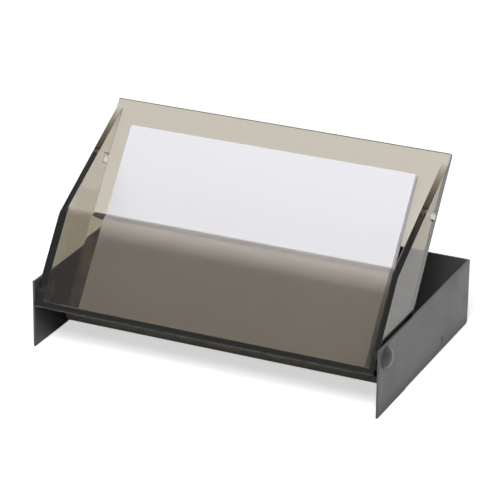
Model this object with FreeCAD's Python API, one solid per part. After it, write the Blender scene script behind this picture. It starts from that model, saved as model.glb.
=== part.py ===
import FreeCAD, Part
import math
import os

# Business card box: a folded sheet-steel tray with a smoked acrylic card holder
# that tilts on two rivets. Millimetres. +X is to the right, +Y to the back, +Z up.
# The origin is on the table, under the middle of the tray.
# The holder and the cards are drawn shut, lying in the tray, and then tilted open.

# Cards
card_width = 85.0
card_height = 55.0
card_thickness = 0.32
card_count = 8
card_air = 0.01
card_spread = 0.12
card_stagger = 0.12
card_rest_gap = 0.05

# Acrylic holder
sheet = 1.8
card_side_room = 5.4
card_head_room = 7.6
pocket_depth = 14.9
front_panel_height = 26.3
front_panel_bevel = 1.8
front_lip = 1.0
side_knee_height = 25.7
side_apex_drop = 2.8
front_edge_radius = 0.6
rear_edge_radius = 0.5

# Steel tray
steel = 0.6
fold_radius = 0.5
rear_fold_radius = 1.4
rear_seam = 0.15
side_gap = 0.4
floor_gap = 0.3
rear_gap = 0.27
floor_lip_gap = 0.1
relief_width = 1.2
relief_length = 1.6

# Hinge
open_angle = 54.5
hinge_from_front = 5.0
hinge_from_top = 3.9
rivet_shank_radius = 1.25
rivet_head_radius = 3.2
rivet_head_height = 1.7
rivet_tail_radius = 1.9
rivet_tail_height = 0.5
rivet_fit = 0.02
running_fit = 0.05
spacer_radius = 3.0
spacer_side_fit = 0.1
burr_radius = 2.1
burr_thickness = 0.4

# Catch that holds the box shut
catch_from_front = 46.4
catch_above_sheet = 1.0
catch_hole_radius = 1.4
catch_pip_radius = 1.2
catch_pip_air = 0.05

# Sizes that follow from the driving ones
pocket_width = card_width + 2 * card_side_room
holder_width = pocket_width + 2 * sheet
holder_length = sheet + card_height + card_head_room
holder_depth = pocket_depth + 2 * sheet
tray_width = holder_width + 2 * (side_gap + steel)
tray_height = steel + floor_gap + holder_depth

back_low = steel + floor_gap
back_high = back_low + sheet
front_high = tray_height
front_low = front_high - sheet
shelf_across = sheet * math.hypot(front_lip, holder_depth) / holder_depth

hinge_height = tray_height - hinge_from_top
hinge_to_back = hinge_height - back_low
swing_radius = math.hypot(holder_length - hinge_from_front, hinge_to_back)
tray_depth = hinge_from_front + swing_radius + rear_gap + steel
floor_front = hinge_from_front + hinge_to_back + floor_lip_gap

catch_height = back_high + catch_above_sheet
front_y = -tray_depth / 2
rear_y = tray_depth / 2
hinge_point = FreeCAD.Vector(0, front_y + hinge_from_front, hinge_height)
x_axis = FreeCAD.Vector(1, 0, 0)


def box(x_low, x_high, y_low, y_high, z_low, z_high):
    """A block between two corners, with y counted from the tray's front edge."""
    corner = FreeCAD.Vector(x_low, front_y + y_low, z_low)
    return Part.makeBox(x_high - x_low, y_high - y_low, z_high - z_low, corner)


def rod(radius, x_low, x_high, y, z):
    """A round bar along X, with y counted from the tray's front edge."""
    start = FreeCAD.Vector(x_low, front_y + y, z)
    return Part.makeCylinder(radius, x_high - x_low, start, x_axis)


def slab(outline, x_low, x_high):
    """A sheet whose side outline is a closed wire in the YZ plane."""
    face = Part.Face(outline)
    face.translate(FreeCAD.Vector(x_low, front_y, 0))
    return face.extrude(FreeCAD.Vector(x_high - x_low, 0, 0))


def outline(points):
    """A closed wire of straight lines through (y, z) points."""
    vectors = [FreeCAD.Vector(0, y, z) for y, z in points]
    return Part.makePolygon(vectors + vectors[:1])


def edges_along_x(shape, y, z):
    """The edges parallel to X that lie at the given (y, z) place."""
    place = FreeCAD.Vector(0, front_y + y, z)
    found = []
    for edge in shape.Edges:
        ends = [vertex.Point for vertex in edge.Vertexes]
        if all(math.hypot(end.y - place.y, end.z - place.z) < 1e-4 for end in ends):
            found.append(edge)
    return found


def foot(z):
    """How far the holder's slanted lower end lies from the tray's front edge at a height."""
    return -front_lip * (z - back_low) / holder_depth


def mirrored(shape):
    """The same shape on the other side of the box."""
    return shape.mirror(FreeCAD.Vector(0, 0, 0), x_axis)


def tilted(shape):
    """The shape turned from shut to open about the rivets."""
    turned = shape.copy()
    turned.rotate(hinge_point, x_axis, open_angle)
    return turned


def tray_walls():
    """Floor, rear wall and side plates, folded from one sheet."""
    inside = tray_width / 2 - steel
    side_outer = box(inside, tray_width / 2, floor_front, tray_depth, 0, tray_height)
    side_outer = side_outer.makeFillet(rear_fold_radius, edges_along_x(side_outer, tray_depth, 0))
    bottom_edges = []
    for edge in side_outer.Edges:
        middle = edge.CenterOfMass
        is_outer = abs(middle.x - tray_width / 2) < 1e-4
        is_low = middle.z < rear_fold_radius
        if is_outer and is_low and middle.y > front_y + floor_front + steel:
            bottom_edges.append(edge)
    side_outer = side_outer.makeFillet(fold_radius, bottom_edges)
    side = side_outer.fuse(box(inside, tray_width / 2, 0, floor_front, 0, tray_height))

    outer = box(-inside, inside, floor_front, tray_depth, 0, tray_height)
    outer = outer.makeFillet(rear_fold_radius, edges_along_x(outer, tray_depth, 0))
    inner_depth = tray_depth - steel
    inner = box(-inside, inside, floor_front - steel, inner_depth, steel, tray_height + steel)
    inner_radius = rear_fold_radius - steel
    inner = inner.makeFillet(inner_radius, edges_along_x(inner, inner_depth, steel))
    floor_and_rear = outer.cut(inner)
    seam = box(inside - rear_seam, inside, inner_depth, tray_depth, rear_fold_radius, tray_height)
    floor_and_rear = floor_and_rear.cut([seam, mirrored(seam)])
    return floor_and_rear.fuse([side, mirrored(side)]).removeSplitter()


def relief():
    """The small notch beside the floor's front corner, where the fold begins."""
    inside = tray_width / 2 - steel
    end = floor_front + relief_length
    return box(inside - relief_width, inside, floor_front - steel, end, -steel, 2 * steel)


def catch_pip(grow_inward):
    """Half of the pressed pip: its hollow outside, or its bump inside."""
    inside = tray_width / 2 - steel
    height = side_gap - catch_pip_air
    ball_radius = (catch_pip_radius ** 2 + height ** 2) / (2 * height)
    face_x = inside if grow_inward else tray_width / 2
    centre = FreeCAD.Vector(face_x - height + ball_radius, front_y + catch_from_front, catch_height)
    ball = Part.makeSphere(ball_radius, centre)
    low = catch_from_front - 2 * catch_pip_radius
    high = catch_from_front + 2 * catch_pip_radius
    reach = 2 * catch_pip_radius
    window = box(face_x - height - steel, face_x, low, high, catch_height - reach, catch_height + reach)
    return ball.common(window)


def base_tray():
    """The finished tray with its rivet holes, corner notches and catch pips."""
    tray = tray_walls()
    hole = rod(rivet_shank_radius + rivet_fit, tray_width / 2 - 2 * steel, tray_width / 2 + steel,
               hinge_from_front, hinge_height)
    hollow = catch_pip(False)
    bump = catch_pip(True)
    notch = relief()
    tray = tray.cut([hole, mirrored(hole), notch, mirrored(notch), hollow, mirrored(hollow)])
    return tray.fuse([bump, mirrored(bump)])


def catch_hole():
    """The hole near the top of a side panel that the pip snaps into."""
    half = holder_width / 2
    return rod(catch_hole_radius, half - sheet, half + sheet, catch_from_front, catch_height)


def back_panel():
    """The wide back sheet that the side panels are glued on."""
    half = holder_width / 2
    points = [(0, back_low), (holder_length, back_low)]
    points += [(holder_length, back_high), (foot(back_high), back_high)]
    panel = slab(outline(points), -half, half)
    panel = panel.makeFillet(rear_edge_radius, edges_along_x(panel, 0, back_low))
    return panel.cut([catch_hole(), mirrored(catch_hole())])


def bottom_panel():
    """The shelf that the cards stand on, a little lower at the front."""
    half = pocket_width / 2
    rear, front = foot(back_high), foot(front_low)
    points = [(rear, back_high), (rear + shelf_across, back_high)]
    points += [(front + shelf_across, front_low), (front, front_low)]
    return slab(outline(points), -half, half)


def front_panel():
    """The low front sheet, with a bevelled top edge and a rounded lower edge."""
    half = pocket_width / 2
    top = front_panel_height
    points = [(foot(front_low), front_low), (top + front_panel_bevel, front_low)]
    points += [(top, front_high), (foot(front_high), front_high)]
    panel = slab(outline(points), -half, half)
    return panel.makeFillet(front_edge_radius, edges_along_x(panel, foot(front_high), front_high))


def side_panel():
    """The right side sheet, from the knee at the front panel to its apex high on the back."""
    half = holder_width / 2
    apex = holder_length - side_apex_drop
    points = [(foot(back_high), back_high), (apex, back_high)]
    points += [(side_knee_height, front_high), (foot(front_high), front_high)]
    panel = slab(outline(points), half - sheet, half)
    panel = panel.makeFillet(front_edge_radius, edges_along_x(panel, foot(front_high), front_high))
    pivot_hole = rod(rivet_shank_radius + running_fit, half - 2 * sheet, half + sheet,
                     hinge_from_front, hinge_height)
    return panel.cut([pivot_hole, catch_hole()])


def rivet():
    """The right rivet: domed head outside, shank through both walls, clinched tail inside."""
    outside = tray_width / 2
    tail_start = holder_width / 2 - sheet - running_fit - burr_thickness
    shank = rod(rivet_shank_radius, tail_start, outside, hinge_from_front, hinge_height)
    head = dome(rivet_head_radius, rivet_head_height, outside, 1)
    tail = dome(rivet_tail_radius, rivet_tail_height, tail_start, -1)
    return shank.fuse([head, tail]).removeSplitter()


def dome(radius, height, face_x, direction):
    """A shallow ball cap on the hinge line, standing out of a face towards +X or -X."""
    ball_radius = (radius ** 2 + height ** 2) / (2 * height)
    centre_x = face_x + direction * (height - ball_radius)
    ball = Part.makeSphere(ball_radius, FreeCAD.Vector(centre_x, hinge_point.y, hinge_point.z))
    x_low = min(face_x, face_x + direction * height)
    x_high = max(face_x, face_x + direction * height)
    return ball.common(rod(radius, x_low, x_high, hinge_from_front, hinge_height))


def spacer():
    """The thin washer between the tray's side plate and the holder."""
    inside = tray_width / 2 - steel
    thickness = side_gap - spacer_side_fit
    disc = rod(spacer_radius, inside - thickness, inside, hinge_from_front, hinge_height)
    bore = rod(rivet_shank_radius + rivet_fit, inside - side_gap, tray_width / 2,
               hinge_from_front, hinge_height)
    return disc.cut(bore)


def burr():
    """The small washer inside the holder that the rivet's tail is clinched over."""
    high = holder_width / 2 - sheet - running_fit
    disc = rod(burr_radius, high - burr_thickness, high, hinge_from_front, hinge_height)
    bore = rod(rivet_shank_radius + rivet_fit, high - 2 * burr_thickness, high + burr_thickness,
               hinge_from_front, hinge_height)
    return disc.cut(bore)


def card(index):
    """One card of the stack: it stands on the shelf, its foot a little further forward than the last."""
    lean = math.asin(index * card_spread / card_height)
    rear_z = back_high + card_rest_gap + index * (card_thickness + card_air)
    shelf_y = foot(rear_z + index * card_spread) + shelf_across
    top_y = shelf_y + card_rest_gap + card_height * math.cos(lean)
    shift = card_stagger * (index % 3 - 1)
    half = card_width / 2
    blank = box(shift - half, shift + half, top_y - card_height, top_y, rear_z, rear_z + card_thickness)
    top_edge = FreeCAD.Vector(0, front_y + top_y, rear_z)
    blank.rotate(top_edge, x_axis, -math.degrees(lean))
    return blank


def pieces():
    """Every piece of the box by name, with the holder tilted open."""
    found = {"base_tray": base_tray()}
    for side, placed in (("right", lambda shape: shape), ("left", mirrored)):
        found[side + "_rivet"] = placed(rivet())
        found[side + "_spacer"] = placed(spacer())
        found[side + "_burr"] = placed(burr())
        found["holder_" + side + "_side"] = tilted(placed(side_panel()))
    found["holder_back_panel"] = tilted(back_panel())
    found["holder_bottom_panel"] = tilted(bottom_panel())
    found["holder_front_panel"] = tilted(front_panel())
    for index in range(card_count):
        found["card_" + str(index + 1)] = tilted(card(index))
    return found


os.makedirs("parts", exist_ok=True)
for name, shape in pieces().items():
    shape.exportStep("parts/" + name + ".step")
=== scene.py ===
"""Business card box: a smoked acrylic card holder that tilts out of a folded black steel tray."""

import logging
import math
from dataclasses import dataclass, field
from enum import Enum

import bmesh
import bpy
from mathutils import Matrix, Quaternion, Vector


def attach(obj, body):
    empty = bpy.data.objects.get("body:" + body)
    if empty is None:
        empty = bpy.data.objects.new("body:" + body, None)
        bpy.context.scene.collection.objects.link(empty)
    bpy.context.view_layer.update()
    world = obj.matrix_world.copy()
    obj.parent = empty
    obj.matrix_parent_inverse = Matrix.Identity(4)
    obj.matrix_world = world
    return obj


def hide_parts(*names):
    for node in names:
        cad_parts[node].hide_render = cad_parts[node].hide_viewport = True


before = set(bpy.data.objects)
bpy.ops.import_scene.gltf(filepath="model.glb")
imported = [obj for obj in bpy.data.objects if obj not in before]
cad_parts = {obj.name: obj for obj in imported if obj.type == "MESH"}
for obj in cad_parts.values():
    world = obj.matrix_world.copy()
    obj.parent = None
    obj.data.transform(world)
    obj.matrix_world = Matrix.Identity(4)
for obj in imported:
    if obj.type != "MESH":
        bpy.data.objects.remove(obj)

logger = logging.getLogger("card_box")

MM = 0.001
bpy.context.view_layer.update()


class Side(Enum):
    """The two sides of the box, as the sign of X."""

    LEFT = -1
    RIGHT = 1


class Body(Enum):
    """The two bodies that the hinge joins."""

    BASE = "base"
    HOLDER = "holder"


class Slot(Enum):
    """The record's material slots."""

    ACRYLIC = "smoked_acrylic"
    STEEL = "black_steel"
    RIVET = "dark_rivet"
    NYLON = "black_nylon"
    CARD = "white_card"


class Graph:
    """A node tree with short calls to add nodes and join them."""

    def __init__(self, tree: bpy.types.NodeTree) -> None:
        """Clear the tree and keep it.

        Args:
            tree: The node tree to build in.
        """
        self.tree = tree
        self.tree.nodes.clear()

    def add(self, kind: str, **settings: object) -> bpy.types.Node:
        """Add one node.

        Args:
            kind: The node's type name.
            settings: Attributes to set on the node.

        Returns:
            The new node.
        """
        node = self.tree.nodes.new(kind)
        for name, value in settings.items():
            setattr(node, name, value)
        return node

    def join(self, source: bpy.types.NodeSocket, target: bpy.types.NodeSocket) -> None:
        """Link an output socket to an input socket."""
        self.tree.links.new(source, target)

    def feed(self, value: bpy.types.NodeSocket | float, target: bpy.types.NodeSocket) -> None:
        """Feed an input from a socket or with a plain number.

        Args:
            value: The socket or the number.
            target: The input.
        """
        if isinstance(value, bpy.types.NodeSocket):
            self.join(value, target)
        else:
            target.default_value = value

    def math(self, operation: str, *values: bpy.types.NodeSocket | float) -> bpy.types.NodeSocket:
        """Work out one value with a math node.

        Args:
            operation: The math node's operation.
            values: Sockets or plain numbers.

        Returns:
            The result's socket.
        """
        node = self.add("ShaderNodeMath", operation=operation)
        for target, value in zip(node.inputs, values):
            self.feed(value, target)
        return node.outputs[0]

    def spread(
        self,
        value: bpy.types.NodeSocket,
        given: tuple[float, float],
        wanted: tuple[bpy.types.NodeSocket | float, bpy.types.NodeSocket | float],
        curve: str = "LINEAR",
    ) -> bpy.types.NodeSocket:
        """Map a value from one range to another and keep it inside.

        Args:
            value: The value's socket.
            given: The ends of its own range.
            wanted: The ends of the new range.
            curve: How it runs between the ends.

        Returns:
            The result's socket.
        """
        node = self.add("ShaderNodeMapRange", interpolation_type=curve)
        for name, end in zip(("From Min", "From Max", "To Min", "To Max"), (*given, *wanted)):
            self.feed(end, node.inputs[name])
        self.join(value, node.inputs["Value"])
        return node.outputs["Result"]

    def noise(self, size: bpy.types.NodeSocket, detail: float) -> bpy.types.NodeSocket:
        """Noise over the piece's own place.

        Args:
            size: The size of its patches, in metres.
            detail: How many finer layers it has.

        Returns:
            The noise's socket, from 0 to 1.
        """
        place = self.add("ShaderNodeTexCoord")
        noise = self.add("ShaderNodeTexNoise")
        noise.inputs["Detail"].default_value = detail
        self.join(place.outputs["Object"], noise.inputs["Vector"])
        self.join(self.math("DIVIDE", 1.0, size), noise.inputs["Scale"])
        return noise.outputs["Fac"]


class SurfaceGroups:
    """The shader node groups that several finishes share."""

    GRAIN_DETAIL = 3.0
    PATCH_DETAIL = 2.0
    TINT_DETAIL = 4.0
    NOISE_REACH = (0.3, 0.7)

    @staticmethod
    def socket(tree: bpy.types.NodeTree, name: str, kind: str, is_output: bool = False) -> None:
        """Give a node group one socket.

        Args:
            tree: The group's tree.
            name: The socket's name.
            kind: The socket's type, such as NodeSocketFloat.
            is_output: True for an output.
        """
        direction = "OUTPUT" if is_output else "INPUT"
        tree.interface.new_socket(name=name, in_out=direction, socket_type=kind)

    @classmethod
    def grain(cls) -> bpy.types.NodeTree:
        """Fine grain: a height and a roughness that both vary over the surface.

        Returns:
            The group, made on the first call and found again later.
        """
        found = bpy.data.node_groups.get("fine_grain")
        if found:
            return found
        tree = bpy.data.node_groups.new("fine_grain", "ShaderNodeTree")
        cls.socket(tree, "Grain Size", "NodeSocketFloat")
        cls.socket(tree, "Patch Size", "NodeSocketFloat")
        cls.socket(tree, "Smooth", "NodeSocketFloat")
        cls.socket(tree, "Rough", "NodeSocketFloat")
        cls.socket(tree, "Roughness", "NodeSocketFloat", True)
        cls.socket(tree, "Height", "NodeSocketFloat", True)
        graph = Graph(tree)
        given = graph.add("NodeGroupInput")
        made = graph.add("NodeGroupOutput")
        patch = graph.noise(given.outputs["Patch Size"], cls.PATCH_DETAIL)
        ends = (given.outputs["Smooth"], given.outputs["Rough"])
        graph.join(graph.spread(patch, cls.NOISE_REACH, ends), made.inputs["Roughness"])
        graph.join(graph.noise(given.outputs["Grain Size"], cls.GRAIN_DETAIL), made.inputs["Height"])
        return tree

    @classmethod
    def tint(cls) -> bpy.types.NodeTree:
        """Soft colour variation between two close colours.

        Returns:
            The group, made on the first call and found again later.
        """
        found = bpy.data.node_groups.get("soft_tint")
        if found:
            return found
        tree = bpy.data.node_groups.new("soft_tint", "ShaderNodeTree")
        cls.socket(tree, "Color A", "NodeSocketColor")
        cls.socket(tree, "Color B", "NodeSocketColor")
        cls.socket(tree, "Patch Size", "NodeSocketFloat")
        cls.socket(tree, "Color", "NodeSocketColor", True)
        graph = Graph(tree)
        given = graph.add("NodeGroupInput")
        made = graph.add("NodeGroupOutput")
        mix = graph.add("ShaderNodeMix", data_type="RGBA")
        graph.join(graph.noise(given.outputs["Patch Size"], cls.TINT_DETAIL), mix.inputs["Factor"])
        graph.join(given.outputs["Color A"], mix.inputs[6])
        graph.join(given.outputs["Color B"], mix.inputs[7])
        graph.join(mix.outputs[2], made.inputs["Color"])
        return tree


@dataclass(frozen=True)
class OpaqueFinish:
    """A painted, moulded or paper surface: two close colours and a fine grain.

    Lengths are in metres and colours are linear.
    """

    name: str
    color_a: tuple[float, float, float]
    color_b: tuple[float, float, float]
    smooth: float
    rough: float
    grain_size: float
    patch_size: float
    bump_height: float
    specular: float = 0.5

    def material(self) -> bpy.types.Material:
        """Build the finish's material.

        Returns:
            The material, made on the first call and found again later.
        """
        found = bpy.data.materials.get(self.name)
        if found:
            return found
        material = bpy.data.materials.new(self.name)
        material.use_nodes = True
        graph = Graph(material.node_tree)
        output = graph.add("ShaderNodeOutputMaterial")
        shader = graph.add("ShaderNodeBsdfPrincipled")
        shader.inputs["Metallic"].default_value = 0.0
        shader.inputs["Specular IOR Level"].default_value = self.specular
        tint = graph.add("ShaderNodeGroup", node_tree=SurfaceGroups.tint())
        tint.inputs["Color A"].default_value = (*self.color_a, 1.0)
        tint.inputs["Color B"].default_value = (*self.color_b, 1.0)
        tint.inputs["Patch Size"].default_value = self.patch_size
        grain = graph.add("ShaderNodeGroup", node_tree=SurfaceGroups.grain())
        grain.inputs["Grain Size"].default_value = self.grain_size
        grain.inputs["Patch Size"].default_value = self.patch_size
        grain.inputs["Smooth"].default_value = self.smooth
        grain.inputs["Rough"].default_value = self.rough
        bump = graph.add("ShaderNodeBump")
        bump.inputs["Distance"].default_value = self.bump_height
        graph.join(tint.outputs["Color"], shader.inputs["Base Color"])
        graph.join(grain.outputs["Roughness"], shader.inputs["Roughness"])
        graph.join(grain.outputs["Height"], bump.inputs["Height"])
        graph.join(bump.outputs["Normal"], shader.inputs["Normal"])
        graph.join(shader.outputs["BSDF"], output.inputs["Surface"])
        return material


@dataclass(frozen=True)
class AcrylicFinish:
    """Clear smoked acrylic: plain glass optics with the smoke in its depth.

    The smoke is an absorption per metre for red, green and blue.
    """

    name: str = "smoked_acrylic_sheet"
    index: float = 1.49
    density: float = 660.0
    kept: tuple[float, float, float] = (0.464, 0.402, 0.285)

    def material(self) -> bpy.types.Material:
        """Build the finish's material.

        Returns:
            The material, made on the first call and found again later.
        """
        found = bpy.data.materials.get(self.name)
        if found:
            return found
        material = bpy.data.materials.new(self.name)
        material.use_nodes = True
        graph = Graph(material.node_tree)
        output = graph.add("ShaderNodeOutputMaterial")
        shader = graph.add("ShaderNodeBsdfPrincipled")
        shader.inputs["Base Color"].default_value = (1.0, 1.0, 1.0, 1.0)
        shader.inputs["Metallic"].default_value = 0.0
        shader.inputs["Roughness"].default_value = 0.0
        shader.inputs["IOR"].default_value = self.index
        shader.inputs["Transmission Weight"].default_value = 1.0
        smoke = graph.add("ShaderNodeVolumeAbsorption")
        smoke.inputs["Color"].default_value = (*self.kept, 1.0)
        smoke.inputs["Density"].default_value = self.density
        graph.join(shader.outputs["BSDF"], output.inputs["Surface"])
        graph.join(smoke.outputs["Volume"], output.inputs["Volume"])
        return material


POWDER_COAT = OpaqueFinish(
    name="black_powder_coat",
    color_a=(0.112, 0.111, 0.112),
    color_b=(0.128, 0.127, 0.128),
    smooth=0.36,
    rough=0.46,
    grain_size=0.35 * MM,
    patch_size=9.0 * MM,
    bump_height=0.006 * MM,
    specular=0.3,
)
RIVET_PAINT = OpaqueFinish(
    name="dark_rivet_paint",
    color_a=(0.030, 0.030, 0.030),
    color_b=(0.042, 0.042, 0.042),
    smooth=0.16,
    rough=0.28,
    grain_size=0.25 * MM,
    patch_size=2.0 * MM,
    bump_height=0.002 * MM,
)
WASHER_NYLON = OpaqueFinish(
    name="black_washer_nylon",
    color_a=(0.012, 0.012, 0.012),
    color_b=(0.020, 0.020, 0.020),
    smooth=0.45,
    rough=0.60,
    grain_size=0.20 * MM,
    patch_size=3.0 * MM,
    bump_height=0.003 * MM,
)
CARD_FACE = OpaqueFinish(
    name="white_card_face",
    color_a=(0.815, 0.805, 0.845),
    color_b=(0.845, 0.835, 0.870),
    smooth=0.55,
    rough=0.68,
    grain_size=0.18 * MM,
    patch_size=14.0 * MM,
    bump_height=0.002 * MM,
    specular=0.3,
)
CARD_EDGE = OpaqueFinish(
    name="cream_card_edge",
    color_a=(0.80, 0.76, 0.68),
    color_b=(0.86, 0.83, 0.77),
    smooth=0.75,
    rough=0.90,
    grain_size=0.06 * MM,
    patch_size=1.5 * MM,
    bump_height=0.010 * MM,
    specular=0.2,
)
SMOKED_ACRYLIC = AcrylicFinish()


class Pieces:
    """Small calls that turn meshes into pieces of the object.

    Angles are between neighbouring faces, or at a face's corner for a pointed one.
    """

    SHARP = math.radians(35.0)
    SOFT = math.radians(25.0)
    FLAT = math.radians(0.5)
    POINTED = math.radians(15.0)
    SMALL_FACE = 1.0 * MM * MM
    WELD = 0.001 * MM
    FLAT_WEIGHT = 50
    STRIPS = 2

    @staticmethod
    def link(name: str, shape: bmesh.types.BMesh, *materials: bpy.types.Material) -> bpy.types.Object:
        """Make an object from a finished mesh and free the mesh builder.

        Args:
            name: The object's name.
            shape: The mesh builder.
            materials: The materials, in the order of the faces' indices.

        Returns:
            The new object.
        """
        mesh = bpy.data.meshes.new(name)
        shape.to_mesh(mesh)
        shape.free()
        for material in materials:
            mesh.materials.append(material)
        piece = bpy.data.objects.new(name, mesh)
        bpy.context.scene.collection.objects.link(piece)
        return piece

    @staticmethod
    def ease(piece: bpy.types.Object, width: float, chosen: bool = False) -> None:
        """Round a piece's sharp edges and keep its large faces flat.

        Args:
            piece: The object.
            width: How far the rounding reaches from the edge, in metres.
            chosen: True to round only the edges that choose() marked.
        """
        bevel = piece.modifiers.new("eased_edges", "BEVEL")
        bevel.width = width
        bevel.segments = Pieces.STRIPS
        bevel.limit_method = "WEIGHT" if chosen else "ANGLE"
        bevel.angle_limit = Pieces.SHARP
        bevel.use_clamp_overlap = False
        weigh = piece.modifiers.new("flat_faces", "WEIGHTED_NORMAL")
        weigh.mode = "FACE_AREA"
        weigh.weight = Pieces.FLAT_WEIGHT
        weigh.keep_sharp = True

    @staticmethod
    def choose(shape: bmesh.types.BMesh) -> None:
        """Mark the sharp edges to round, apart from those of small faces that end in a point.

        Args:
            shape: The mesh builder.
        """
        pointed = set()
        for face in shape.faces:
            tip = min(loop.calc_angle() for loop in face.loops)
            if face.calc_area() < Pieces.SMALL_FACE and tip < Pieces.POINTED:
                pointed.add(face)
        weights = shape.edges.layers.float.new("bevel_weight_edge")
        for edge in shape.edges:
            sharp = edge.calc_face_angle(0.0) > Pieces.SHARP
            edge[weights] = float(sharp and not pointed.intersection(edge.link_faces))

    @staticmethod
    def smooth(shape: bmesh.types.BMesh, limit: float = SOFT) -> None:
        """Shade a mesh smooth, apart from its sharper edges.

        Args:
            shape: The mesh builder.
            limit: The angle above which an edge stays sharp.
        """
        for face in shape.faces:
            face.smooth = True
        for edge in shape.edges:
            edge.smooth = len(edge.link_faces) == 2 and edge.calc_face_angle(0.0) < limit

    @staticmethod
    def clean(shape: bmesh.types.BMesh) -> None:
        """Weld a mesh, join its flat faces and shade it.

        Args:
            shape: The mesh builder.
        """
        bmesh.ops.remove_doubles(shape, verts=shape.verts, dist=Pieces.WELD)
        bmesh.ops.dissolve_limit(
            shape, angle_limit=Pieces.FLAT, verts=shape.verts, edges=shape.edges
        )
        Pieces.smooth(shape)

    @staticmethod
    def carve(piece: bpy.types.Object, cutters: list[bpy.types.Object]) -> None:
        """Cut other solids out of a piece and remove them.

        Args:
            piece: The object that loses material.
            cutters: The solids to take away.
        """
        for cutter in cutters:
            cut = piece.modifiers.new("cut", "BOOLEAN")
            cut.operation = "DIFFERENCE"
            cut.solver = "EXACT"
            cut.object = cutter
        bpy.context.view_layer.update()
        evaluated = piece.evaluated_get(bpy.context.evaluated_depsgraph_get())
        carved = bpy.data.meshes.new_from_object(evaluated)
        piece.modifiers.clear()
        piece.data = carved
        for cutter in cutters:
            bpy.data.objects.remove(cutter)

    @staticmethod
    def dress(node: str, finish: OpaqueFinish) -> None:
        """Give a CAD node, which stays as it is, a finish.

        Args:
            node: The node's name.
            finish: The finish.
        """
        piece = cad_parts[node]
        piece.data.materials.clear()
        piece.data.materials.append(finish.material())


@dataclass(frozen=True)
class HolderPlace:
    """How the holder's own shut position turns into its open one.

    Shut coordinates are x, then u from the front edge of the tray, then n above the table.
    """

    tray_front: float = -33.519 * MM
    hinge_u: float = 5.0 * MM
    hinge_n: float = 15.5 * MM
    open_angle: float = math.radians(54.5)

    def matrix(self) -> Matrix:
        """The move from shut coordinates to the row frame.

        Returns:
            The matrix.
        """
        hinge = Vector((0.0, self.tray_front + self.hinge_u, self.hinge_n))
        shift = Matrix.Translation(Vector((0.0, self.tray_front, 0.0)))
        turn = Matrix.Rotation(self.open_angle, 4, "X")
        return Matrix.Translation(hinge) @ turn @ Matrix.Translation(-hinge) @ shift


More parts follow.
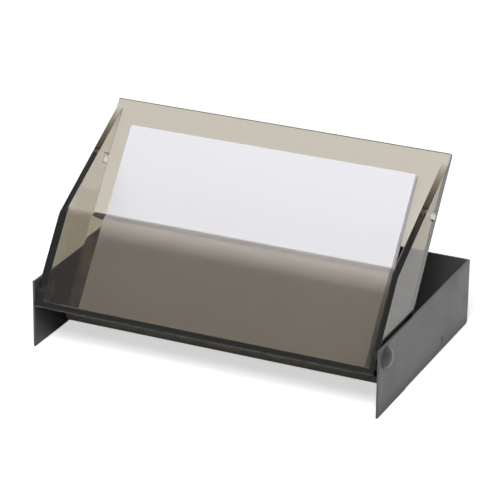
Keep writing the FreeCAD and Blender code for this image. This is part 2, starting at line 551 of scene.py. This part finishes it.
@dataclass
class Holder:
    """The acrylic card holder, its glued sheets made as one clear solid."""

    place: HolderPlace = field(default_factory=HolderPlace)
    width: float = 99.4 * MM
    length: float = 64.4 * MM
    sheet: float = 1.8 * MM
    back_low: float = 0.9 * MM
    front_high: float = 19.4 * MM
    front_lip: float = 1.0 * MM
    front_top: float = 26.3 * MM
    front_bevel: float = 1.8 * MM
    knee: float = 25.7 * MM
    apex_drop: float = 2.8 * MM
    front_radius: float = 0.6 * MM
    rear_radius: float = 0.5 * MM
    hinge_hole: float = 1.30 * MM
    catch_u: float = 46.4 * MM
    catch_n: float = 3.7 * MM
    catch_hole: float = 1.4 * MM
    eased: float = 0.16 * MM
    beyond_length: float = 1.2
    beyond_height: float = 1.5
    corner_steps: int = 6
    hole_steps: int = 48

    def arc(
        self, centre: tuple[float, float], radius: float, start: float, end: float
    ) -> list[tuple[float, float]]:
        """Points of an arc in the side view.

        Args:
            centre: The centre's u and n.
            radius: The radius.
            start: The first angle in degrees.
            end: The last angle in degrees.

        Returns:
            The points as (u, n) pairs.
        """
        points = []
        for step in range(self.corner_steps + 1):
            turn = math.radians(start + (end - start) * step / self.corner_steps)
            points.append((centre[0] + radius * math.cos(turn), centre[1] + radius * math.sin(turn)))
        return points

    def prism(
        self, outline: list[tuple[float, float]], x_low: float, x_high: float
    ) -> bmesh.types.BMesh:
        """A solid with a given side view between two places on X, in the open position.

        Args:
            outline: The side view's corners as (u, n) pairs, counterclockwise.
            x_low: The left end.
            x_high: The right end.

        Returns:
            The mesh builder with the solid.
        """
        shape = bmesh.new()
        left = [shape.verts.new((x_low, u, n)) for u, n in outline]
        right = [shape.verts.new((x_high, u, n)) for u, n in outline]
        shape.faces.new(list(reversed(left)))
        shape.faces.new(right)
        for index in range(len(outline)):
            after = (index + 1) % len(outline)
            shape.faces.new((left[index], left[after], right[after], right[index]))
        bmesh.ops.recalc_face_normals(shape, faces=shape.faces)
        shape.transform(self.place.matrix())
        return shape

    def bar(self, u: float, n: float, radius: float, x_low: float, x_high: float) -> bpy.types.Object:
        """A round cutter along X.

        Args:
            u: Its centre's u.
            n: Its centre's n.
            radius: Its radius.
            x_low: The left end.
            x_high: The right end.

        Returns:
            The cutter.
        """
        outline = []
        for step in range(self.hole_steps):
            turn = math.tau * step / self.hole_steps
            outline.append((u + radius * math.cos(turn), n + radius * math.sin(turn)))
        return Pieces.link("cutter", self.prism(outline, x_low, x_high))

    def foot(self, n: float) -> float:
        """How far the slanted lower end lies from the tray's front edge at a height."""
        return -self.front_lip * (n - self.back_low) / (self.front_high - self.back_low)

    def shelf_top(self, n: float) -> float:
        """How far the shelf's upper face lies from the tray's front edge at a height."""
        depth = self.front_high - self.back_low
        return self.foot(n) + self.sheet * math.hypot(self.front_lip, depth) / depth

    def outer(self) -> list[tuple[float, float]]:
        """The side view of the whole holder, with its two rounded lower corners.

        Returns:
            The corners as (u, n) pairs, counterclockwise.
        """
        inner_n = self.back_low + self.sheet
        rear = self.rear_radius
        front = self.front_radius
        slant = math.atan2(self.front_lip, self.front_high - self.back_low)
        lean = math.degrees(slant)
        points = [(self.length, self.back_low), (self.length, inner_n)]
        points += [(self.length - self.apex_drop, inner_n), (self.knee, self.front_high)]
        front_u = -self.front_lip + front * math.tan((math.tau / 4 + slant) / 2)
        points += self.arc((front_u, self.front_high - front), front, 90.0, 180.0 + lean)
        rear_u = rear * math.tan((math.tau / 4 - slant) / 2)
        points += self.arc((rear_u, self.back_low + rear), rear, 180.0 + lean, 270.0)
        return points

    def pocket(self) -> list[tuple[float, float]]:
        """The side view of what is hollow between the side sheets.

        Returns:
            The corners as (u, n) pairs, counterclockwise.
        """
        inner_n = self.back_low + self.sheet
        front_low = self.front_high - self.sheet
        beyond_u = self.length * self.beyond_length
        beyond_n = self.front_high * self.beyond_height
        slope = self.front_bevel / self.sheet
        points = [(self.shelf_top(inner_n), inner_n), (beyond_u, inner_n), (beyond_u, beyond_n)]
        points += [(self.front_top - slope * (beyond_n - self.front_high), beyond_n)]
        points += [(self.front_top + self.front_bevel, front_low), (self.shelf_top(front_low), front_low)]
        return points

    def build(self) -> bpy.types.Object:
        """Make the holder, dress it and let it ride on its body.

        Returns:
            The holder's piece.
        """
        half = self.width / 2
        room = self.sheet
        holder = Pieces.link("smoked_holder", self.prism(self.outer(), -half, half))
        cutters = [Pieces.link("cutter", self.prism(self.pocket(), room - half, half - room))]
        for side in Side:
            ends = sorted((side.value * (half - 1.5 * room), side.value * (half + room)))
            hinge_bar = self.bar(self.place.hinge_u, self.place.hinge_n, self.hinge_hole, *ends)
            ends = sorted((side.value * (half - room), side.value * (half + room)))
            catch_bar = self.bar(self.catch_u, self.catch_n, self.catch_hole, *ends)
            cutters += [hinge_bar, catch_bar]
        Pieces.carve(holder, cutters)
        shape = bmesh.new()
        shape.from_mesh(holder.data)
        Pieces.clean(shape)
        shape.to_mesh(holder.data)
        shape.free()
        holder.data.materials.clear()
        holder.data.materials.append(SMOKED_ACRYLIC.material())
        Pieces.ease(holder, self.eased)
        panels = ("back_panel", "front_panel", "bottom_panel", "left_side", "right_side")
        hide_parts(*("holder_" + panel for panel in panels))
        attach(holder, Body.HOLDER.value)
        return holder


@dataclass
class CardStack:
    """The blank cards, each a sheet with a softened edge and its own small lean."""

    holder: Holder
    width: float = 85.0 * MM
    height: float = 55.0 * MM
    thickness: float = 0.32 * MM
    count: int = 8
    air: float = 0.01 * MM
    spread: float = 0.12 * MM
    stagger: float = 0.12 * MM
    rest_gap: float = 0.05 * MM
    back: float = 2.7 * MM
    eased: float = 0.05 * MM

    def card(self, index: int) -> bpy.types.Object:
        """Make one card.

        Args:
            index: The card's place in the stack, from 0 at the back.

        Returns:
            The card's piece.
        """
        lean = math.asin(index * self.spread / self.height)
        rear_n = self.back + self.rest_gap + index * (self.thickness + self.air)
        shelf_u = self.holder.shelf_top(rear_n + index * self.spread)
        top_u = shelf_u + self.rest_gap + self.height * math.cos(lean)
        # the cards lie a little left, straight and a little right in turn
        shift = self.stagger * (index % 3 - 1)
        shape = bmesh.new()
        bmesh.ops.create_cube(shape, size=1.0)
        shape.transform(Matrix.Diagonal((self.width, self.height, self.thickness, 1.0)))
        shape.transform(Matrix.Translation((shift, -self.height / 2, self.thickness / 2)))
        for face in shape.faces:
            face.material_index = 0 if abs(face.normal.z) > 0.5 else 1
        turned = Matrix.Translation((0.0, top_u, rear_n)) @ Matrix.Rotation(-lean, 4, "X")
        shape.transform(self.holder.place.matrix() @ turned)
        Pieces.smooth(shape)
        name = f"card_{index + 1}"
        card = Pieces.link("blank_" + name, shape, CARD_FACE.material(), CARD_EDGE.material())
        Pieces.ease(card, self.eased)
        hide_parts(name)
        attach(card, Body.HOLDER.value)
        return card

    def build(self) -> list[bpy.types.Object]:
        """Make the whole stack."""
        return [self.card(index) for index in range(self.count)]


@dataclass
class Tray:
    """The folded steel tray, with the soft edges that a powder coat leaves."""

    eased: float = 0.12 * MM

    def build(self) -> bpy.types.Object:
        """Make the tray's piece from the CAD node's surface.

        Returns:
            The tray's piece.
        """
        shape = bmesh.new()
        shape.from_mesh(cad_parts["base_tray"].data)
        Pieces.clean(shape)
        Pieces.choose(shape)
        for face in shape.faces:
            face.material_index = 0
        tray = Pieces.link("powder_coated_tray", shape, POWDER_COAT.material())
        Pieces.ease(tray, self.eased, chosen=True)
        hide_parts("base_tray")
        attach(tray, Body.BASE.value)
        return tray


@dataclass
class Hinge:
    """The two rivets with their washers."""

    place: HolderPlace = field(default_factory=HolderPlace)
    outside: float = 50.7 * MM
    tail_start: float = 47.45 * MM
    shank: float = 1.25 * MM
    head: float = 3.2 * MM
    head_height: float = 1.7 * MM
    tail: float = 1.9 * MM
    tail_height: float = 0.5 * MM
    rim: float = 0.12 * MM
    weld: float = 0.002 * MM
    steps: int = 64
    dome_steps: int = 10

    def dome(self, radius: float, height: float) -> list[tuple[float, float]]:
        """The side view of a shallow dome with a small rim.

        Args:
            radius: The dome's radius at its rim.
            height: How far it stands out.

        Returns:
            Pairs of distance from the face and radius, from the rim to the middle.
        """
        rise = height - self.rim
        ball = (radius**2 + rise**2) / (2 * rise)
        points = [(0.0, radius - self.rim / 2), (self.rim / 2, radius)]
        widest = math.asin(min(1.0, radius / ball))
        for step in range(self.dome_steps + 1):
            turn = widest * (1 - step / self.dome_steps)
            points.append((self.rim + ball * math.cos(turn) - (ball - rise), ball * math.sin(turn)))
        return points

    def rivet(self, side: Side) -> bpy.types.Object:
        """Turn one rivet: domed head, shank and clinched tail.

        Args:
            side: The side of the box.

        Returns:
            The rivet's piece.
        """
        head = reversed(self.dome(self.head, self.head_height))
        tail = self.dome(self.tail, self.tail_height)
        profile = [(self.outside + out, radius) for out, radius in head]
        profile += [(self.outside, self.shank), (self.tail_start, self.shank)]
        profile += [(self.tail_start - out, radius) for out, radius in tail]
        shape = bmesh.new()
        line = [shape.verts.new((x * side.value, 0.0, radius)) for x, radius in profile]
        edges = [shape.edges.new(pair) for pair in zip(line, line[1:])]
        bmesh.ops.spin(
            shape,
            geom=line + edges,
            cent=(0.0, 0.0, 0.0),
            axis=(1.0, 0.0, 0.0),
            angle=math.tau,
            steps=self.steps,
            use_duplicate=False,
        )
        bmesh.ops.remove_doubles(shape, verts=shape.verts, dist=self.weld)
        bmesh.ops.recalc_face_normals(shape, faces=shape.faces)
        place = self.place
        shape.transform(Matrix.Translation((0.0, place.tray_front + place.hinge_u, place.hinge_n)))
        Pieces.smooth(shape, Pieces.SHARP)
        word = side.name.lower()
        rivet = Pieces.link(f"domed_{word}_rivet", shape, RIVET_PAINT.material())
        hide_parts(f"{word}_rivet")
        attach(rivet, Body.BASE.value)
        return rivet

    def build(self) -> list[bpy.types.Object]:
        """Make both rivets and dress the washers.

        Returns:
            The two rivets.
        """
        for side in Side:
            Pieces.dress(side.name.lower() + "_spacer", WASHER_NYLON)
            Pieces.dress(side.name.lower() + "_burr", RIVET_PAINT)
        return [self.rivet(side) for side in Side]


@dataclass(frozen=True)
class Softbox:
    """A square soft lamp that faces the box.

    The azimuth runs in degrees from the front towards the right, the elevation from the table up.
    """

    name: str
    azimuth: float
    elevation: float
    power: float
    size: float = 0.5
    distance: float = 1.2

    def place(self) -> Vector:
        """Where the lamp hangs.

        Returns:
            The place, in metres.
        """
        around = math.radians(self.azimuth)
        up = math.radians(self.elevation)
        flat = math.cos(up)
        toward = Vector((math.sin(around) * flat, -math.cos(around) * flat, math.sin(up)))
        return self.distance * toward

    def build(self) -> bpy.types.Object:
        """Make the lamp.

        Returns:
            The lamp.
        """
        data = bpy.data.lights.new(self.name, "AREA")
        data.shape = "SQUARE"
        data.size = self.size
        data.energy = self.power
        lamp = bpy.data.objects.new(self.name, data)
        lamp.location = self.place()
        lamp.rotation_mode = "QUATERNION"
        lamp.rotation_quaternion = (-self.place()).to_track_quat("-Z", "Y")
        lamp.visible_camera = False
        bpy.context.scene.collection.objects.link(lamp)
        return lamp


@dataclass
class Studio:
    """The pale floor, the soft light and the camera.

    The camera's angles are in radians, and its azimuth runs from the front towards the right.
    """

    azimuth: float = 0.42503751
    elevation: float = 0.39899566
    roll: float = 0.01373908
    distance: float = 715.981 * MM
    target: tuple[float, float, float] = (0.260 * MM, -3.519 * MM, 26.738 * MM)
    lens: float = 189.691
    sensor: float = 36.0
    clip: tuple[float, float] = (0.05, 20.0)
    floor_size: float = 6.0
    floor_seen: float = 0.88
    floor_bounce: float = 0.40
    floor_lift: float = 0.60
    # how far the painted shade under the box reaches in what is mirrored, and how softly it ends
    painted_shade_area: tuple[float, float] = (50.0 * MM, 34.0 * MM)
    painted_shade_edge: float = 5.0 * MM
    fill: float = 0.10
    front_gloss: float = 0.60
    gloss_turn: tuple[float, float] = (-0.1, 0.6)
    lamps: tuple[Softbox, ...] = (
        Softbox("key_softbox", 16.0, 50.0, 11.3),
        Softbox("left_softbox", -65.0, 35.0, 2.2),
    )

    def rays(self, graph: Graph) -> tuple[bpy.types.NodeSocket, bpy.types.NodeSocket]:
        """Masks of the rays that show the background and don't light anything.

        Args:
            graph: The node tree to build in.

        Returns:
            The mask of rays seen directly or through the acrylic, and the mask of mirrored rays.
        """
        path = graph.add("ShaderNodeLightPath")
        shown = graph.math("LESS_THAN", path.outputs["Diffuse Depth"], 0.5)
        straight = graph.math(
            "MAXIMUM", path.outputs["Is Camera Ray"], path.outputs["Is Transmission Ray"]
        )
        direct = graph.math("MULTIPLY", straight, shown)
        mirrored = graph.math("MULTIPLY", path.outputs["Is Glossy Ray"], shown)
        return direct, mirrored

    def world(self) -> None:
        """A pale room: white where it is seen, dimmer where it lights or is mirrored in front."""
        world = bpy.data.worlds.new("pale_room")
        world.use_nodes = True
        bpy.context.scene.world = world
        graph = Graph(world.node_tree)
        output = graph.add("ShaderNodeOutputWorld")
        direct, mirrored = self.rays(graph)
        place = graph.add("ShaderNodeTexCoord")
        split = graph.add("ShaderNodeSeparateXYZ")
        graph.join(place.outputs["Generated"], split.inputs["Vector"])
        behind = graph.spread(
            split.outputs["Y"], self.gloss_turn, (self.front_gloss, 1.0), "SMOOTHSTEP"
        )
        white = graph.math("MAXIMUM", direct, graph.math("MULTIPLY", behind, mirrored))
        level = graph.spread(white, (0.0, 1.0), (self.fill, 1.0))
        light = graph.add("ShaderNodeBackground")
        light.inputs["Color"].default_value = (1.0, 1.0, 1.0, 1.0)
        graph.join(level, light.inputs["Strength"])
        graph.join(light.outputs["Background"], output.inputs["Surface"])

    def outside_painted_shade(self, graph: Graph) -> bpy.types.NodeSocket:
        """A mask of the floor that the box doesn't stand over. The floor's glow in what is mirrored stays
        off under the box, which paints a shade there.

        Args:
            graph: The node tree to build in.

        Returns:
            The mask's socket.
        """
        place = graph.add("ShaderNodeTexCoord")
        split = graph.add("ShaderNodeSeparateXYZ")
        graph.join(place.outputs["Object"], split.inputs["Vector"])
        across = graph.math("ABSOLUTE", split.outputs["X"])
        along = graph.math("ABSOLUTE", split.outputs["Y"])
        beside = graph.math("SUBTRACT", across, self.painted_shade_area[0])
        before = graph.math("SUBTRACT", along, self.painted_shade_area[1])
        away = graph.math("MAXIMUM", beside, before)
        return graph.spread(away, (0.0, self.painted_shade_edge), (0.0, 1.0), "SMOOTHSTEP")

    def floor(self) -> bpy.types.Object:
        """A wide pale floor that keeps the object's shadow, with a painted shade under the box where
        surfaces mirror it.

        Returns:
            The floor.
        """
        material = bpy.data.materials.new("pale_floor")
        material.use_nodes = True
        graph = Graph(material.node_tree)
        output = graph.add("ShaderNodeOutputMaterial")
        direct, mirrored = self.rays(graph)
        seen = graph.math("MAXIMUM", direct, mirrored)
        shade = graph.spread(seen, (0.0, 1.0), (self.floor_bounce, self.floor_seen))
        diffuse = graph.add("ShaderNodeBsdfDiffuse")
        graph.join(shade, diffuse.inputs["Color"])
        # the glow that mirrored rays see is cut off under the box, a painted shade there in reflections
        mirrored_outside_painted_shade = graph.math("MULTIPLY", mirrored, self.outside_painted_shade(graph))
        lifted = graph.math("MAXIMUM", direct, mirrored_outside_painted_shade)
        lift = graph.add("ShaderNodeEmission")
        graph.join(graph.math("MULTIPLY", lifted, self.floor_lift), lift.inputs["Strength"])
        both = graph.add("ShaderNodeAddShader")
        graph.join(diffuse.outputs["BSDF"], both.inputs[0])
        graph.join(lift.outputs["Emission"], both.inputs[1])
        graph.join(both.outputs["Shader"], output.inputs["Surface"])
        shape = bmesh.new()
        bmesh.ops.create_grid(shape, x_segments=1, y_segments=1, size=self.floor_size / 2)
        floor = Pieces.link("floor", shape, material)
        return floor

    def camera(self) -> bpy.types.Object:
        """The camera, at the photograph's angle.

        Returns:
            The camera.
        """
        data = bpy.data.cameras.new("camera")
        data.sensor_width = self.sensor
        data.lens = self.lens
        data.clip_start, data.clip_end = self.clip
        camera = bpy.data.objects.new("camera", data)
        flat = math.cos(self.elevation)
        back = Vector(
            (math.sin(self.azimuth) * flat, -math.cos(self.azimuth) * flat, math.sin(self.elevation))
        )
        camera.location = Vector(self.target) + back * self.distance
        camera.rotation_mode = "QUATERNION"
        level = (-back).to_track_quat("-Z", "Y")
        camera.rotation_quaternion = level @ Quaternion((0.0, 0.0, 1.0), self.roll)
        bpy.context.scene.collection.objects.link(camera)
        bpy.context.scene.camera = camera
        return camera

    def build(self) -> None:
        """Set the stage."""
        bpy.context.scene.view_settings.view_transform = "Standard"
        self.world()
        self.floor()
        for lamp in self.lamps:
            lamp.build()
        self.camera()


def main() -> None:
    """Build the box, piece by piece, and its studio."""
    logging.basicConfig(level=logging.INFO, format="%(name)s: %(message)s")
    holder = Holder()
    made = [Tray().build(), holder.build()]
    made += Hinge().build()
    made += CardStack(holder).build()
    Studio().build()
    bpy.context.view_layer.update()


if __name__ == "__main__":
    main()
